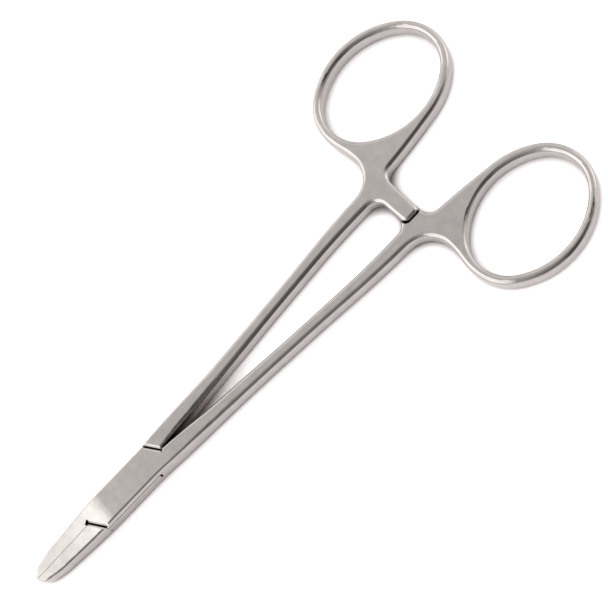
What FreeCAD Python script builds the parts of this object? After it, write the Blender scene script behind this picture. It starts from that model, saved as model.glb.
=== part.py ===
import FreeCAD, Part
import math
import os

# Needle holder with a box lock, 130 mm long. Millimetres, +Z up.
# X runs from the pivot to the finger rings, the jaw tip is at -X.
# The origin is on the pivot axis, on the underside of the box.

V = FreeCAD.Vector

# thickness, all pieces are symmetric about the middle plane
BOX_THICK = 4.6           # box, from rest face to top face
HANDLE_THICK = 3.4        # shanks, ratchet bars and finger rings
TIP_THICK = 2.8           # jaws at the tip
JAW_ROOT_THICK = 3.95     # jaws where they leave the box
TAPER_START = 5.0         # start of the thinner jaw, from the pivot
HANDLE_START = 28.0       # handle has its own thickness from here on

# box lock
BOX_HALF_WIDTH = 3.18     # box, middle line to side
TENON_THICK = 1.2         # thin middle of the tenon half
CHEEK_CLEAR = 0.05        # tenon to each cheek
TENON_RADIUS = 7.15       # round ends of the tenon
SLOT_CLEAR = 0.40         # round ends of the tenon to the slot ends
STEP_SIDE_X = 7.7         # slanted step where it meets the side of the box
STEP_MID_X = 9.7          # slanted step where it meets the middle line
STEP_CLEAR = 0.10         # gap between cheek and shoulder along the step
STEP_BEVEL_FRONT = 0.75   # bevel on the edges of the steps that look towards the jaws
STEP_BEVEL_BACK = 0.35    # bevel on the edges that look towards the rings
SLOT_BREAK = 0.18         # broken edge of the upper cheek along the slot

# pivot pin
PIN_RADIUS = 1.4
PIN_RUN_CLEAR = 0.04      # pin to the hole in the tenon
PIN_RECESS = 0.10         # lower pin end to the rest face

# jaws, half the width of the closed pair at some distances back from the tip
JAW_LENGTH = 24.3         # tip to pivot
HALF_GAP = 0.04           # jaw face, and tenon edge, to the middle line
JAW_BACK = (0.95, 3.0, 9.3)
JAW_HALF_WIDTH = (1.43, 2.10, 2.78)
CROSS_CUT_LENGTH = 14.0   # cross cut of the jaw faces, from the tip
TOOTH_PITCH = 0.75
TOOTH_DEPTH = 0.13
CROSS_CUT_LAND = 0.34     # plain strip above and below the cross cut

# shank, offset of its centre line from the middle line, and its width
SHANK_X = (14.0, 30.0, 46.0)
SHANK_FLARE = 9.60        # shank starts to widen here, from the bar centre, the last of its four places
SHANK_OFFSET = (2.04, 3.13, 4.37, 5.76)
SHANK_WIDTH = (3.29, 2.84, 2.62, 3.12)
SHANK_START_SLOPE = 0.05  # inner side of the shank where it leaves the middle line

# finger rings, ovals of four arcs that lean a little
RING_X = 90.50            # centre of the finger opening, from the pivot
RING_Y = 20.45            # and from the middle line
RING_LEAN = 3.5           # degrees, the neck end leans outwards
BOW_LENGTH = 26.3         # finger opening along the tool
BOW_WIDTH = 20.4          # finger opening across the tool
BOW_END_RADIUS = 8.5      # its two tighter arcs
WIRE_NECK = 1.95          # ring wire on the side of the shank
WIRE_END = 1.92           # ring wire on the far end
WIRE_SIDE = 1.95          # ring wire on the outer side
WIRE_NEAR = 2.20          # ring wire on the side of the middle line
NECK_LEAN = 0.75          # neck stands this far inside the ring's widest point
NECK_TOP_Y = 13.2         # outer side of the neck reaches the ring here
NECK_RISE = 0.25          # outer side of the shank rises by this towards the neck
NECK_SLOPE = 0.09         # and has this slope where the neck begins
THUMB_BLEND_X = 4.4       # blend of ratchet bar and ring, from the bar centre
THUMB_BLEND_Y = 6.62
THUMB_SLOPE = 0.08
THUMB_REACH = 2.3         # length of that blend along the bar, from its corner
THUMB_TURN = 282.0        # degrees round the ring where the thumb side runs into it

# ratchet
BAR_BACK = 14.90          # bar centre, from the centre of the finger opening towards the pivot
BAR_WIDTH = 4.20
BAR_TAPER = 0.12          # bar is narrower by this on each side at its end
BAR_END_Y = 4.15          # end of the bar past the middle line
BAR_CORNER = 1.3          # round corners of the bar end
BAR_ROOT_Y = 1.8          # straight side of the bar starts here
BAR_ROOT_BLEND = 2.3      # blend of shank and bar, along the tool
BAR_SPLIT = 0.06          # tooth crests to the middle plane
BAR_SIDE_CLEAR = 0.22     # bar sides to the other half
BAR_END_CLEAR = 0.45      # bar end to the other half
RATCHET_PITCH = 1.15
RATCHET_DEPTH = 0.55
RATCHET_COUNT = 4

# edges
ROUND_BOX = 0.48          # upper side of jaws and box
ROUND_HANDLE = 0.88       # upper side of shanks, bars and rings
UNDER_BREAK = 0.50        # flat broken edge on the underside

MID_Z = BOX_THICK / 2.0
BAR_X = RING_X - BAR_BACK
HANDLE_END = RING_X + BOW_LENGTH / 2.0 + WIRE_END


def p2(point):
    return V(point[0], point[1], 0)


def line(a, b):
    return Part.makeLine(p2(a), p2(b))


def tangent_arc(a, way, b):
    """Arc from a to b that leaves a in the direction way, or a line where it is straight."""
    chord = b - a
    lean = way.getAngle(chord)
    if lean < 1e-5:
        return Part.makeLine(a, b)
    side = way - chord * (way.dot(chord) / chord.dot(chord))
    middle = (a + b) * 0.5 + side.normalize() * (chord.Length / 2.0 * math.tan(lean / 2.0))
    return Part.Arc(a, middle, b).toShape()


def smooth(points, start, end, plane=p2):
    """Smooth chain of arcs through points, two from each to the next, with a given direction at each end."""
    knots = [plane(q) for q in points]
    ways = [plane(start).normalize()]
    for before, here, after in zip(knots, knots[1:], knots[2:]):
        left = here - before
        right = after - here
        way = left * (right.Length / left.Length) + right * (left.Length / right.Length)
        ways.append(way.normalize())
    ways.append(plane(end).normalize())
    edges = []
    for a, b, go, come in zip(knots, knots[1:], ways, ways[1:]):
        span = b - a
        bend = 2.0 * (1.0 - go.dot(come))
        both = span.dot(go + come)
        if bend < 1e-9:
            reach = span.dot(span) / (2.0 * both)
        else:
            reach = (math.sqrt(both * both + bend * span.dot(span)) - both) / bend
        joint = (a + b + (go - come) * reach) * 0.5
        edges.append(tangent_arc(a, go, joint))
        edges.append(tangent_arc(b, come * -1.0, joint))
    return edges


def corner(a, top, b):
    """Smooth chain from a to b, tangent to the two lines that meet in top."""
    return smooth([a, b], (top[0] - a[0], top[1] - a[1]), (b[0] - top[0], b[1] - top[1]))


def oval(half_x, half_y, end_radius, shift_x, shift_y):
    """Sizes of a four-arc oval and the shift of its centre from that of the finger opening."""
    flank = (half_y ** 2 + half_x ** 2 - 2.0 * half_x * end_radius) / (2.0 * (half_y - end_radius))
    join = math.degrees(math.atan2(flank - half_y, half_x - end_radius))
    return half_x, half_y, end_radius, flank, join, shift_x, shift_y


def oval_point(sizes, angle):
    """Point of the leaning oval where its outward direction is angle degrees, and the way on from there."""
    half_x, half_y, end_radius, flank, join, shift_x, shift_y = sizes
    c, s = math.cos(math.radians(angle)), math.sin(math.radians(angle))
    if abs(s) > math.sin(math.radians(join)):
        x, y = flank * c, flank * s - math.copysign(flank - half_y, s)
    else:
        x, y = math.copysign(half_x - end_radius, c) + end_radius * c, end_radius * s
    x, y = x + shift_x, y + shift_y
    cl, sl = math.cos(math.radians(RING_LEAN)), -math.sin(math.radians(RING_LEAN))
    point = (RING_X + x * cl - y * sl, RING_Y + x * sl + y * cl)
    return point, (-s * cl - c * sl, -s * sl + c * cl)


def oval_arcs(sizes, start, end):
    """Arcs of the oval from one outward direction to another, anticlockwise."""
    join = sizes[4]
    joins = [join, 180.0 - join, 180.0 + join, 360.0 - join]
    stops = [start] + [j + k for k in (-360.0, 0.0) for j in joins if start < j + k < end] + [end]
    edges = []
    for a, b in zip(stops, stops[1:]):
        ends = [p2(oval_point(sizes, t)[0]) for t in (a, (a + b) / 2.0, b)]
        edges.append(Part.Arc(*ends).toShape())
    return edges


def poly_prism(points, z0, z1):
    face = Part.Face(Part.makePolygon([p2(q) for q in points] + [p2(points[0])]))
    face.translate(V(0, 0, z0))
    return face.extrude(V(0, 0, z1 - z0))


def side_profile():
    """Plate along the tool that gives each part its thickness."""
    tip, root, box, handle = [t / 2.0 for t in (TIP_THICK, JAW_ROOT_THICK, BOX_THICK, HANDLE_THICK)]
    x0 = -JAW_LENGTH - TIP_THICK
    slope = (root - tip) / (JAW_LENGTH - STEP_MID_X)
    first = tip - slope * TIP_THICK
    xs = STEP_MID_X + ROUND_BOX
    x1 = HANDLE_END + HANDLE_THICK
    edges = []
    for side in (1, -1):
        def xz(point):
            return V(point[0], 0, side * point[1])

        edges += smooth([(x0, first), (-STEP_MID_X, root), (-TAPER_START, box)], (1, slope), (1, 0), xz)
        edges.append(Part.makeLine(xz((-TAPER_START, box)), xz((xs, box))))
        edges += smooth([(xs, box), (HANDLE_START, handle)], (1, 0), (1, 0), xz)
        edges.append(Part.makeLine(xz((HANDLE_START, handle)), xz((x1, handle))))
    edges.append(Part.makeLine(V(x0, 0, -first), V(x0, 0, first)))
    edges.append(Part.makeLine(V(x1, 0, -handle), V(x1, 0, handle)))
    face = Part.Face(wire_of(edges))
    reach = RING_Y + BOW_WIDTH
    face.translate(V(0, -reach, MID_Z))
    return face.extrude(V(0, 2 * reach, 0))


def wire_of(edges):
    return Part.Wire(Part.__sortEdges__(edges))


def step_x(y):
    """X of the slanted step on the shank side at a height y above the middle line."""
    return STEP_MID_X + (STEP_SIDE_X - STEP_MID_X) * y / BOX_HALF_WIDTH


def bar_side(side, y):
    """X of one long side of the ratchet bar at y."""
    lean = BAR_TAPER / (BAR_ROOT_Y + BAR_END_Y)
    return BAR_X + side * (BAR_WIDTH / 2.0 - lean * (BAR_ROOT_Y - y))


def ring_ovals():
    """The finger opening and the outside of the ring."""
    half_x, half_y = BOW_LENGTH / 2.0, BOW_WIDTH / 2.0
    hole = oval(half_x, half_y, BOW_END_RADIUS, 0.0, 0.0)
    wide_x = half_x + (WIRE_NECK + WIRE_END) / 2.0
    wide_y = half_y + (WIRE_NEAR + WIRE_SIDE) / 2.0
    end_radius = BOW_END_RADIUS + (WIRE_NECK + WIRE_END) / 2.0
    outside = oval(wide_x, wide_y, end_radius, (WIRE_END - WIRE_NECK) / 2.0, (WIRE_SIDE - WIRE_NEAR) / 2.0)
    return hole, outside


def blank_outline():
    w = BOX_HALF_WIDTH
    g = HALF_GAP
    back = [(b - JAW_LENGTH, -h) for b, h in zip(JAW_BACK, JAW_HALF_WIDTH)]
    jaw = [(-JAW_LENGTH, -g)] + back + [(-TAPER_START, -w)]
    places = SHANK_X + (BAR_X - SHANK_FLARE,)
    inner = [(x, o - t / 2.0) for x, o, t in zip(places, SHANK_OFFSET, SHANK_WIDTH)]
    outer = [(x, o + t / 2.0) for x, o, t in zip(places, SHANK_OFFSET, SHANK_WIDTH)]

    root_x = BAR_X - BAR_WIDTH / 2.0 - BAR_ROOT_BLEND
    root_y = inner[-1][1]
    root = (root_x, root_y)
    root_corner = (bar_side(-1, root_y), root_y)
    root_end = (bar_side(-1, BAR_ROOT_Y), BAR_ROOT_Y)
    e = -BAR_END_Y
    left_up = (bar_side(-1, e + BAR_CORNER), e + BAR_CORNER)
    left_end = (bar_side(-1, e) + BAR_CORNER, e)
    right_end = (bar_side(1, e) - BAR_CORNER, e)
    right_up = (bar_side(1, e + BAR_CORNER), e + BAR_CORNER)
    thumb = (BAR_X + THUMB_BLEND_X, THUMB_BLEND_Y)
    corner_y = THUMB_BLEND_Y - THUMB_SLOPE * (THUMB_BLEND_X - BAR_WIDTH / 2.0)
    thumb_corner = (bar_side(1, corner_y), corner_y)
    thumb_start = (bar_side(1, corner_y - THUMB_REACH), corner_y - THUMB_REACH)

    hole, outside = ring_ovals()
    near, near_way = oval_point(outside, THUMB_TURN - 360.0)
    left, left_way = oval_point(outside, 180.0)
    neck_top = (left[0] + NECK_LEAN, NECK_TOP_Y)
    shank_end = (root_x, outer[-1][1] + NECK_RISE)
    neck_corner = (neck_top[0], shank_end[1] + NECK_SLOPE * (neck_top[0] - root_x))

    edges = smooth(jaw, (0, -1), (1, 0))
    edges.append(line((-TAPER_START, -w), (step_x(w), -w)))
    edges.append(line((step_x(w), -w), (step_x(-g), g)))
    edges += smooth([(step_x(-g), g)] + inner + [root], (1, SHANK_START_SLOPE), (1, 0))
    edges += corner(root, root_corner, root_end)
    edges.append(line(root_end, left_up))
    edges += corner(left_up, (bar_side(-1, e), e), left_end)
    edges.append(line(left_end, right_end))
    edges += corner(right_end, (bar_side(1, e), e), right_up)
    edges.append(line(right_up, thumb_start))
    edges += corner(thumb_start, thumb_corner, thumb)
    edges += smooth([thumb, near], (1, THUMB_SLOPE), near_way)
    edges += oval_arcs(outside, THUMB_TURN - 360.0, 180.0)
    edges += smooth([left, neck_top], left_way, (0, -1))
    edges += corner(neck_top, neck_corner, shank_end)
    edges += smooth([shank_end] + outer[::-1] + [(TAPER_START, w)], (-1, -NECK_SLOPE), (-1, 0))
    edges.append(line((TAPER_START, w), (-step_x(w), w)))
    edges.append(line((-step_x(w), w), (-step_x(-g), -g)))
    edges.append(line((-step_x(-g), -g), (-JAW_LENGTH, -g)))
    return edges, oval_arcs(hole, 0.0, 180.0) + oval_arcs(hole, 180.0, 360.0)


def is_rounded(body, edge):
    """True where a wall of the outline meets the top or underside, but not on the step or jaw face."""
    walls = 0
    for face in body.ancestorsOfType(edge, Part.Face):
        u0, u1, v0, v1 = face.ParameterRange
        walls += abs(face.normalAt((u0 + u1) / 2.0, (v0 + v1) / 2.0).z) < 0.1
    if walls != 1:
        return False
    spots = [q.Point for q in edge.Vertexes]
    spots.append(edge.valueAt((edge.FirstParameter + edge.LastParameter) / 2.0))
    on_face = all(abs(q.y + HALF_GAP) < 1e-4 for q in spots)
    on_step = all(abs(abs(q.x) - step_x(abs(q.y))) < 2 * HALF_GAP for q in spots)
    return not on_face and not on_step


def round_at(point):
    """Radius of the rounded edge at a point: small on jaws and box, then growing to that of the handle."""
    start = STEP_MID_X + ROUND_BOX
    share = (point.x - start) / (HANDLE_START - start)
    return ROUND_BOX + min(1.0, max(0.0, share)) * (ROUND_HANDLE - ROUND_BOX)


def blank(side):
    """One forging before its box or tenon is cut, jaw at -Y, shank at +Y, upper side at +Z or -Z."""
    edges, hole = blank_outline()
    body = Part.Face(wire_of(edges)).extrude(V(0, 0, BOX_THICK))
    body = body.cut(Part.Face(wire_of(hole)).extrude(V(0, 0, BOX_THICK)))
    body = body.common(side_profile()).Solids[0]
    doc = FreeCAD.newDocument("blank")
    raw = doc.addObject("Part::Feature", "raw")
    raw.Shape = body
    soft = doc.addObject("Part::Fillet", "soft")
    soft.Base = raw
    picks = []
    for number, edge in enumerate(body.Edges, 1):
        if is_rounded(body, edge) and side * (edge.CenterOfMass.z - MID_Z) > 0:
            picks.append((number, round_at(edge.Vertexes[0].Point), round_at(edge.Vertexes[-1].Point)))
    soft.Edges = picks
    doc.recompute()
    result = soft.Shape.copy()
    FreeCAD.closeDocument(doc.Name)
    under = [e for e in result.Edges if side * (e.CenterOfMass.z - MID_Z) < 0 and is_rounded(result, e)]
    return result.makeChamfer(UNDER_BREAK, under)


def half_height(x):
    """Half the thickness of the tool at x, on the box and the root of the jaw."""
    if x > -TAPER_START:
        return BOX_THICK / 2.0
    section = SIDE.slice(V(1, 0, 0), x)
    return max(q.Point.z for q in section[0].Vertexes) - MID_Z


def step_notches(side):
    """Tools that bevel both edges of one slanted step. side is 1 towards the rings, -1 to the jaws."""
    dx, dy = STEP_MID_X - STEP_SIDE_X, -BOX_HALF_WIDTH
    length = math.hypot(dx, dy)
    ux, uy = side * dx / length, side * dy / length
    across = V(-side * uy, side * ux, 0)
    start = V(side * STEP_SIDE_X, side * BOX_HALF_WIDTH, 0)
    end = V(side * STEP_MID_X, 0, 0)
    run = V(ux, uy, 0)
    tools = []
    for looks, bevel in ((-1, STEP_BEVEL_FRONT), (1, STEP_BEVEL_BACK)):
        wall = across * (STEP_CLEAR / 2.0 * (side - looks))
        deep = bevel + STEP_CLEAR / 2.0
        for up in (1, -1):
            loops = []
            for point, past in ((start, -BOX_HALF_WIDTH), (end, STEP_BEVEL_FRONT)):
                top = MID_Z + up * half_height(point.x)
                middle = point + wall + run * past + across * (looks * STEP_CLEAR / 2.0)
                far = middle - across * (looks * (deep + bevel))
                corners = [V(far.x, far.y, top + up * bevel), V(middle.x, middle.y, top - up * deep),
                           V(middle.x, middle.y, top + up * bevel)]
                loops.append(Part.makePolygon(corners + [corners[0]]))
            tools.append(Part.makeLoft(loops, True, True))
    return tools


def slot_breaks():
    """Tools that break the lower edge of the upper cheek along both open sides of the slot."""
    z = MID_Z + TENON_THICK / 2.0 + CHEEK_CLEAR
    x0 = -STEP_MID_X
    x1 = math.sqrt((TENON_RADIUS + SLOT_CLEAR) ** 2 - BOX_HALF_WIDTH ** 2)
    y = -BOX_HALF_WIDTH
    b = SLOT_BREAK
    corners = [V(x0, y - b, z + 2 * b), V(x0, y + 2 * b, z - b), V(x0, y - b, z - b)]
    one = Part.Face(Part.makePolygon(corners + [corners[0]])).extrude(V(x1 - x0, 0, 0))
    other = one.copy()
    other.rotate(V(0, 0, 0), V(0, 0, 1), 180)
    return [one, other]


def box_zone(z0, z1):
    """The middle of the tool between the two slanted steps."""
    far = 2 * BOX_HALF_WIDTH
    c = STEP_CLEAR * math.hypot(BOX_HALF_WIDTH, STEP_MID_X - STEP_SIDE_X) / BOX_HALF_WIDTH
    right = [(step_x(0) + c, 0), (step_x(far) + c, far)]
    left = [(-x, -y) for x, y in right]
    edge = STEP_MID_X + c
    return poly_prism([(edge, 0)] + right + [(-edge, far), (-edge, 0)] + left + [(edge, -far)], z0, z1)


def tenon_region(radius, gap, z0, z1):
    """Round middle plus the two corners where the tenon runs out into its jaw and shank."""
    disc = Part.makeCylinder(radius, z1 - z0, V(0, 0, z0))
    far = 2 * BOX_HALF_WIDTH
    edge = STEP_MID_X + BOX_HALF_WIDTH
    up = poly_prism([(0, gap), (edge, gap), (edge, far), (0, far)], z0, z1)
    down = poly_prism([(0, -gap), (-edge, -gap), (-edge, -far), (0, -far)], z0, z1)
    return disc.fuse([up, down])


def tooth_groove(y, depth):
    """Saw tooth gap cut up into the underside of the upper ratchet bar."""
    z = MID_Z + BAR_SPLIT
    x = BAR_X - BAR_WIDTH
    on = y + RATCHET_PITCH
    corners = [V(x, y, z - depth), V(x, y, z + depth), V(x, on, z), V(x, on, z - depth)]
    face = Part.Face(Part.makePolygon(corners + [corners[0]]))
    return face.extrude(V(2 * BAR_WIDTH, 0, 0))


def cut_ratchet(body):
    """Keep only the upper half of the bar, make room for the other bar, cut the teeth."""
    half = BAR_WIDTH / 2.0 + BAR_SIDE_CLEAR
    top = MID_Z + BAR_SPLIT
    end = BAR_END_Y + BAR_END_CLEAR
    sides = [(BAR_X - half, -end), (BAR_X + half, -end), (BAR_X + half, end), (BAR_X - half, end)]
    room = poly_prism(sides, -BOX_THICK, top)
    upright = [e for e in room.Edges if abs(e.Vertexes[0].Z - e.Vertexes[1].Z) > MID_Z]
    corners = [e for e in upright if e.Vertexes[0].Y > 0]
    room = room.makeFillet(BAR_CORNER, corners)
    first = BAR_END_Y - BAR_CORNER / 2.0 - RATCHET_PITCH
    teeth = [tooth_groove(-first + i * RATCHET_PITCH, RATCHET_DEPTH) for i in range(RATCHET_COUNT)]
    return body.cut([room] + teeth)


def cross_cut(body):
    """Two sets of V grooves across the jaw face, at 45 degrees both ways."""
    x0 = -JAW_LENGTH - TIP_THICK
    x1 = CROSS_CUT_LENGTH - JAW_LENGTH
    slope = (JAW_ROOT_THICK - TIP_THICK) / (JAW_LENGTH - STEP_MID_X) / 2.0
    high0 = TIP_THICK / 2.0 - CROSS_CUT_LAND - slope * TIP_THICK
    high1 = high0 + slope * (x1 - x0)
    y = -HALF_GAP - 2 * TOOTH_DEPTH
    corners = [V(x0, y, MID_Z - high0), V(x1, y, MID_Z - high1)]
    corners += [V(x1, y, MID_Z + high1), V(x0, y, MID_Z + high0)]
    window = Part.Face(Part.makePolygon(corners + [corners[0]])).extrude(V(0, 4 * TOOTH_DEPTH, 0))
    step = TOOTH_PITCH * math.sqrt(2.0)
    reach = BOX_THICK
    for slant in (1, -1):
        grooves = []
        count = int((x1 - x0 + 2 * reach) / step)
        for i in range(count):
            x = x0 - reach + i * step
            a = V(x, 0, MID_Z - slant * reach)
            run = V(2 * reach, 0, slant * 2 * reach)
            side = V(run.z, 0, -run.x).normalize() * TOOTH_DEPTH
            face_y = -HALF_GAP
            corners = [a + V(0, face_y - TOOTH_DEPTH, 0), a + side * 2 + V(0, face_y + TOOTH_DEPTH, 0),
                       a - side * 2 + V(0, face_y + TOOTH_DEPTH, 0)]
            face = Part.Face(Part.makePolygon(corners + [corners[0]]))
            grooves.append(face.extrude(run))
        body = body.cut(Part.makeCompound(grooves).common(window))
    return body


os.makedirs("parts", exist_ok=True)
SIDE = side_profile()
upper = cross_cut(cut_ratchet(blank(1)))
lower = cross_cut(cut_ratchet(blank(-1)))
notches = step_notches(1) + step_notches(-1)

z_low = MID_Z - TENON_THICK / 2.0
z_high = MID_Z + TENON_THICK / 2.0
above = box_zone(z_high, 2 * BOX_THICK)
below = box_zone(-BOX_THICK, z_low)
ends = box_zone(z_low, z_high).cut(tenon_region(TENON_RADIUS, HALF_GAP, -BOX_THICK, 2 * BOX_THICK))
bore = Part.makeCylinder(PIN_RADIUS + PIN_RUN_CLEAR, BOX_THICK, V(0, 0, 0))
tenon_half = upper.cut([above, below, ends, bore] + notches)

c = CHEEK_CLEAR
slot = tenon_region(TENON_RADIUS + SLOT_CLEAR, -HALF_GAP, z_low - c, z_high + c)
hole = Part.makeCylinder(PIN_RADIUS, 2 * BOX_THICK, V(0, 0, -BOX_THICK / 2.0))
lower.rotate(V(0, 0, MID_Z), V(1, 0, 0), 180)
box_half = lower.cut([slot, hole] + slot_breaks() + notches)

pivot_pin = Part.makeCylinder(PIN_RADIUS, BOX_THICK - PIN_RECESS, V(0, 0, PIN_RECESS))

for name, body in (("tenon_half", tenon_half), ("box_half", box_half), ("pivot_pin", pivot_pin)):
    body.Solids[0].exportStep("parts/" + name + ".step")
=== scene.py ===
import math

import bpy
from mathutils import Matrix, Vector

# Box lock needle holder in satin stainless steel, 130 mm long, lying closed on a white table.
# The origin is on the pivot, on the underside of the box. +X runs to the finger rings.

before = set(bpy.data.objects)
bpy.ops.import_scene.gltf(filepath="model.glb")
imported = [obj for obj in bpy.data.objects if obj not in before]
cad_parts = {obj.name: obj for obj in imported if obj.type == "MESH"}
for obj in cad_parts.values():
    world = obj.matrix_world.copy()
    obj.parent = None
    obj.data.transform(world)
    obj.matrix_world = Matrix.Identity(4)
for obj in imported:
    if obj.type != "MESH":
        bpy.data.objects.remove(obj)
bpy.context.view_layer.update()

MM = 0.001

# camera: the photograph is 608 pixels square, a long lens looking down from the -Y side
VIEW_TARGET = (49.2, -0.404, 3.75)    # mm, middle of the picture
VIEW_TILT = 24.0                      # degrees off vertical
VIEW_ROLL = 46.167                    # degrees the tool is turned in the picture
VIEW_DISTANCE = 388.7                 # mm
VIEW_ANGLE = 17.04                    # degrees across the picture
VIEW_NEAR = 10.0                      # mm, nothing nearer is seen

SKY_SAMPLES = 8                       # rays that look how open the sky is over a place

# steel
STEEL_DARK = "#BCB8B6"
STEEL_LIGHT = "#DAD6D3"
GAP_PAINTED_SHADE = "#1E1B1A"                  # painted shade: steel colour in the gaps between the halves, in creases and close above the card mm, walls and card closer than this darken the steel as painted shade share of open sky from full painted shade to the plain steel colour
GAP_NEAR = 1.0                        # mm, walls closer than this make a gap
GAP_OPEN = (0.30, 0.72)               # share of open sky from all gap to all steel
CLOUD_SIZE = 2.2                      # mm, faint clouds that the wheel leaves
CLOUD_DETAIL = 4.0
CLOUD_BREAKUP = 0.6
GRAIN_SIZE = 0.16                     # mm, blasting grain, coarser than the real 0.05 so that it shows
GRAIN_DETAIL = 2.0
GRAIN_DEPTH = 0.02                    # mm
GRAIN_SHARE = 0.2                     # share of that depth that shows
FLAT_ROUGH = 0.19
SIDE_ROUGH = 0.08
FLAT_FACING = (0.95, 0.995)           # upright share of the face, side finish below and flat finish above

# table: a white card that shows as paper white to the eye and in the steel, and keeps a narrow shadow, partly
# real and partly painted into its colour and glow
TABLE_SIZE = 3.0                      # m
TABLE_WHITE = "#F4EEF0"               # the card in the open
TABLE_GLOW = "#FFFCFD"                # tint of the lift
TABLE_PAINTED_SHADOW = "#8E8483"                # painted shadow: the card's colour where the tool nearly touches it glow added where the card lies open, as the eye sees it; less of it near the tool, a painted shadow
TABLE_LIFT = 0.75                     # added where the card lies open, as the eye sees it
TABLE_LIFT_STEEL = 0.42               # glow that only the steel's mirror rays see in the card, painted light
TABLE_NEAR = 4.0                      # mm, what stands closer than this darkens the card's colour and glow, a painted shadow share of open sky at which the lift starts and is full, and the painted shadow in the card's colour fades to white
TABLE_SHADE = (0.36, 0.60)            # share of open sky at which the lift starts and is full
TABLE_FAR = (5.0, 9.0)                # mm, the painted glow that the steel mirrors fades over this length of the mirrored ray
TABLE_FAR_SHARE = 0.35

# room: level without patches, and soft patches (direction, inner and outer angle, change of level)
ROOM_WHITE = "#FFFDFB"
BACKDROP_WHITE = "#FFFFFF"             # what the eye sees past the table
ROOM_LEVEL = 0.85
ROOM_LEAST = 0.03                     # darkest the room gets
ROOM_PATCHES = (
    ((0.29, -0.82, 0.49), 25, 83, -0.65),     # dark studio on the viewer's side
    ((0.61, -0.78, 0.17), 32, 44, -0.40),     # and its darkest part
    ((0.22, -0.28, 0.94), 4, 18, -0.24),      # dark edge of the ceiling
    ((-0.01, 0.22, 0.97), 11, 18, -0.20),     # dim ceiling
    ((-0.14, 0.41, 0.90), 2, 8, -0.07),       # dim strip in front of the screen
    ((-0.84, 0.31, 0.45), 43, 49, 0.64),      # white screen beyond the jaws
    ((-0.43, 0.38, 0.82), 7, 16, 0.34),       # its brightest part
    ((-0.96, -0.25, 0.15), 5, 25, 0.22),      # its low end
    ((0.82, -0.45, -0.34), 8, 87, 0.85),      # bright wall beyond the rings
    ((0.93, -0.30, 0.20), 8, 30, 0.12),       # its middle
    ((0.85, -0.23, 0.48), 4, 27, 0.45),       # lamp above it
    ((0.56, -0.02, 0.83), 2, 16, 0.22),       # and its glow on the ceiling
    ((-0.08, 0.99, -0.06), 2, 48, 0.40),      # bright wall across the table
)


def linear(code):
    """sRGB hex to linear colour."""
    parts = [int(code[i:i + 2], 16) / 255.0 for i in (1, 3, 5)]
    return tuple([c / 12.92 if c <= 0.04045 else ((c + 0.055) / 1.055) ** 2.4 for c in parts] + [1.0])


def add(tree, kind, settings=None, links=None):
    """Adds a node. settings sets its options and socket values, links feeds its inputs from other sockets."""
    node = tree.nodes.new(kind)
    for name, value in (settings or {}).items():
        if name in node.inputs.keys() or isinstance(name, int):
            node.inputs[name].default_value = value
        else:
            setattr(node, name, value)
    for name, source in (links or {}).items():
        tree.links.new(source, node.inputs[name])
    return node


def new_material(name):
    """Empty material for a finish."""
    material = bpy.data.materials.new(name)
    material.use_nodes = True
    material.node_tree.nodes.clear()
    return material


def satin_steel():
    """Stainless steel, forged and ground, flats satin blasted, edges and sides buffed: the flats give a soft
    even grey with faint clouds, the rounded sides draw the light and dark of the room as clear bands."""
    material = new_material("satin_blasted_stainless_steel")
    tree = material.node_tree
    place = add(tree, "ShaderNodeTexCoord").outputs
    clouds = add(tree, "ShaderNodeTexNoise", {"Scale": 1 / (CLOUD_SIZE * MM), "Detail": CLOUD_DETAIL,
                                              "Roughness": CLOUD_BREAKUP},
                 {"Vector": place["Object"]}).outputs["Fac"]
    grain = add(tree, "ShaderNodeTexNoise", {"Scale": 1 / (GRAIN_SIZE * MM), "Detail": GRAIN_DETAIL},
                {"Vector": place["Object"]}).outputs["Fac"]
    colour = add(tree, "ShaderNodeMix", {"data_type": "RGBA", 6: linear(STEEL_DARK), 7: linear(STEEL_LIGHT)},
                 {0: clouds}).outputs[2]
    # painted shade: the steel's colour turns dark where little sky is open, in the gaps between the halves, in
    # creases and next to the card
    sky = add(tree, "ShaderNodeAmbientOcclusion", {"Distance": GAP_NEAR * MM,
                                                   "samples": SKY_SAMPLES}).outputs["AO"]
    gap, steel = GAP_OPEN
    unshaded = add(tree, "ShaderNodeMapRange", {"From Min": gap, "From Max": steel},
                {"Value": sky}).outputs["Result"]
    gap_shaded = add(tree, "ShaderNodeMix", {"data_type": "RGBA", 6: linear(GAP_PAINTED_SHADE)},
                  {0: unshaded, 7: colour}).outputs[2]
    upright = add(tree, "ShaderNodeSeparateXYZ", links={0: place["Normal"]}).outputs["Z"]
    flat = add(tree, "ShaderNodeMath", {"operation": "ABSOLUTE"}, {0: upright}).outputs[0]
    side, face = FLAT_FACING
    blasted = add(tree, "ShaderNodeMapRange", {"interpolation_type": "SMOOTHSTEP", "From Min": side,
                                               "From Max": face}, {"Value": flat}).outputs["Result"]
    rough = add(tree, "ShaderNodeMapRange", {"To Min": SIDE_ROUGH, "To Max": FLAT_ROUGH},
                {"Value": blasted}).outputs["Result"]
    bump = add(tree, "ShaderNodeBump", {"Distance": GRAIN_DEPTH * MM, "Strength": GRAIN_SHARE},
               {"Height": grain})
    shader = add(tree, "ShaderNodeBsdfPrincipled", {"Metallic": 1.0},
                 {"Base Color": gap_shaded, "Roughness": rough, "Normal": bump.outputs["Normal"]})
    add(tree, "ShaderNodeOutputMaterial", links={"Surface": shader.outputs["BSDF"]})
    return material


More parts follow.
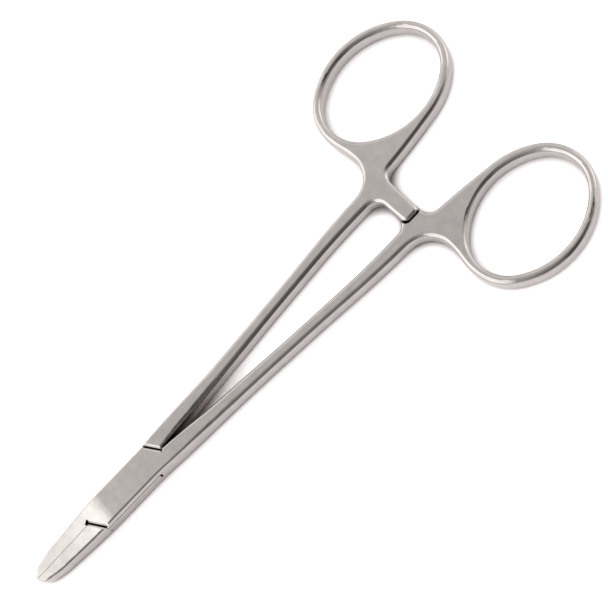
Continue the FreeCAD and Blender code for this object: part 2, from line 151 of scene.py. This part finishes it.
def table_white():
    """Matt white card, pressed paper: paper white in the open, with a short soft shadow along the tool, partly
    painted into its colour and glow. The steel mirrors the part of it that lies near as nearly as white,
    through a glow that only mirror rays see, painted light."""
    material = new_material("matt_white_card")
    tree = material.node_tree
    path = add(tree, "ShaderNodeLightPath").outputs
    open_sky = add(tree, "ShaderNodeAmbientOcclusion", {"Distance": TABLE_NEAR * MM,
                                                        "samples": SKY_SAMPLES}).outputs["AO"]
    start, full = TABLE_SHADE
    paper = add(tree, "ShaderNodeMapRange", {"From Min": start, "From Max": full},
                {"Value": open_sky}).outputs["Result"]
    # painted light: the card glows for the steel's mirror rays, less from further off
    near, far = TABLE_FAR
    level = add(tree, "ShaderNodeMapRange",
                {"From Min": near * MM, "From Max": far * MM, "To Min": TABLE_LIFT_STEEL,
                 "To Max": TABLE_LIFT_STEEL * TABLE_FAR_SHARE}, {"Value": path["Ray Length"]}).outputs["Result"]
    mirrored = add(tree, "ShaderNodeMath", {"operation": "MULTIPLY"},
                   {0: path["Is Glossy Ray"], 1: level}).outputs[0]
    seen = add(tree, "ShaderNodeMath", {"operation": "MULTIPLY_ADD", 1: TABLE_LIFT},
               {0: path["Is Camera Ray"], 2: mirrored}).outputs[0]
    # painted shadow: the card's glow fades where the tool stands near
    lift = add(tree, "ShaderNodeMath", {"operation": "MULTIPLY"}, {0: seen, 1: paper}).outputs[0]
    # painted shadow: the card's colour darkens where the tool stands near
    colour = add(tree, "ShaderNodeMix", {"data_type": "RGBA", 6: linear(TABLE_PAINTED_SHADOW), 7: linear(TABLE_WHITE)},
                 {0: paper}).outputs[2]
    card = add(tree, "ShaderNodeBsdfDiffuse", links={"Color": colour})
    glow = add(tree, "ShaderNodeEmission", {"Color": linear(TABLE_GLOW)}, {"Strength": lift})
    both = add(tree, "ShaderNodeAddShader", links={0: card.outputs[0], 1: glow.outputs[0]})
    add(tree, "ShaderNodeOutputMaterial", links={"Surface": both.outputs[0]})
    return material


def build_table():
    """The card that the tool lies on."""
    bpy.ops.mesh.primitive_plane_add(size=TABLE_SIZE)
    table = bpy.context.object
    table.name = "table"
    table.data.materials.append(table_white())


def lobe(tree, direction, toward, inner, outer):
    """Soft patch of the room around a direction: 1 inside the inner angle, 0 past the outer one."""
    aim = Vector(toward).normalized()
    dot = add(tree, "ShaderNodeVectorMath", {"operation": "DOT_PRODUCT", 1: aim}, {0: direction})
    return add(tree, "ShaderNodeMapRange",
               {"interpolation_type": "SMOOTHSTEP", "From Min": math.cos(math.radians(outer)),
                "From Max": math.cos(math.radians(inner))}, {"Value": dot.outputs["Value"]}).outputs["Result"]


def build_room():
    """White room round the table, with its dark viewer's side and its brighter walls. The eye itself sees
    plain white past the table."""
    world = bpy.data.worlds.new("white_room")
    bpy.context.scene.world = world
    world.use_nodes = True
    tree = world.node_tree
    tree.nodes.clear()
    direction = add(tree, "ShaderNodeTexCoord").outputs["Generated"]
    level = None
    for toward, inner, outer, change in ROOM_PATCHES:
        links = {0: lobe(tree, direction, toward, inner, outer)}
        settings = {"operation": "MULTIPLY_ADD", 1: change}
        if level:
            links[2] = level
        else:
            settings[2] = ROOM_LEVEL
        level = add(tree, "ShaderNodeMath", settings, links).outputs[0]
    kept = add(tree, "ShaderNodeMath", {"operation": "MAXIMUM", 1: ROOM_LEAST}, {0: level}).outputs[0]
    room = add(tree, "ShaderNodeBackground", {"Color": linear(ROOM_WHITE)}, {"Strength": kept})
    backdrop = add(tree, "ShaderNodeBackground", {"Color": linear(BACKDROP_WHITE), "Strength": 1.0})
    seen = add(tree, "ShaderNodeLightPath").outputs["Is Camera Ray"]
    both = add(tree, "ShaderNodeMixShader", links={0: seen, 1: room.outputs[0], 2: backdrop.outputs[0]})
    add(tree, "ShaderNodeOutputWorld", links={"Surface": both.outputs[0]})


def build_camera():
    """Long lens from the photograph's place, turned about its line of sight."""
    tilt = math.radians(VIEW_TILT)
    roll = math.radians(VIEW_ROLL)
    back = Vector((0, -math.sin(tilt), math.cos(tilt)))
    along = Vector((1, 0, 0))
    across = Vector((0, math.cos(tilt), math.sin(tilt)))
    right = along * math.cos(roll) - across * math.sin(roll)
    up = along * math.sin(roll) + across * math.cos(roll)
    data = bpy.data.cameras.new("camera")
    data.angle = math.radians(VIEW_ANGLE)
    data.clip_start = VIEW_NEAR * MM
    camera = bpy.data.objects.new("camera", data)
    bpy.context.scene.collection.objects.link(camera)
    turn = Matrix((right, up, back)).transposed().to_4x4()
    camera.matrix_world = Matrix.Translation(Vector(VIEW_TARGET) * MM + back * VIEW_DISTANCE * MM) @ turn
    bpy.context.scene.camera = camera


def dress(nodes, material):
    """Gives pieces their finish. Their meshes stay as they are."""
    for name in nodes:
        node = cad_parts[name]
        node.data.materials.clear()
        node.data.materials.append(material)


bpy.context.scene.view_settings.view_transform = "Standard"
dress(("box_half", "tenon_half", "pivot_pin"), satin_steel())
build_table()
build_room()
build_camera()
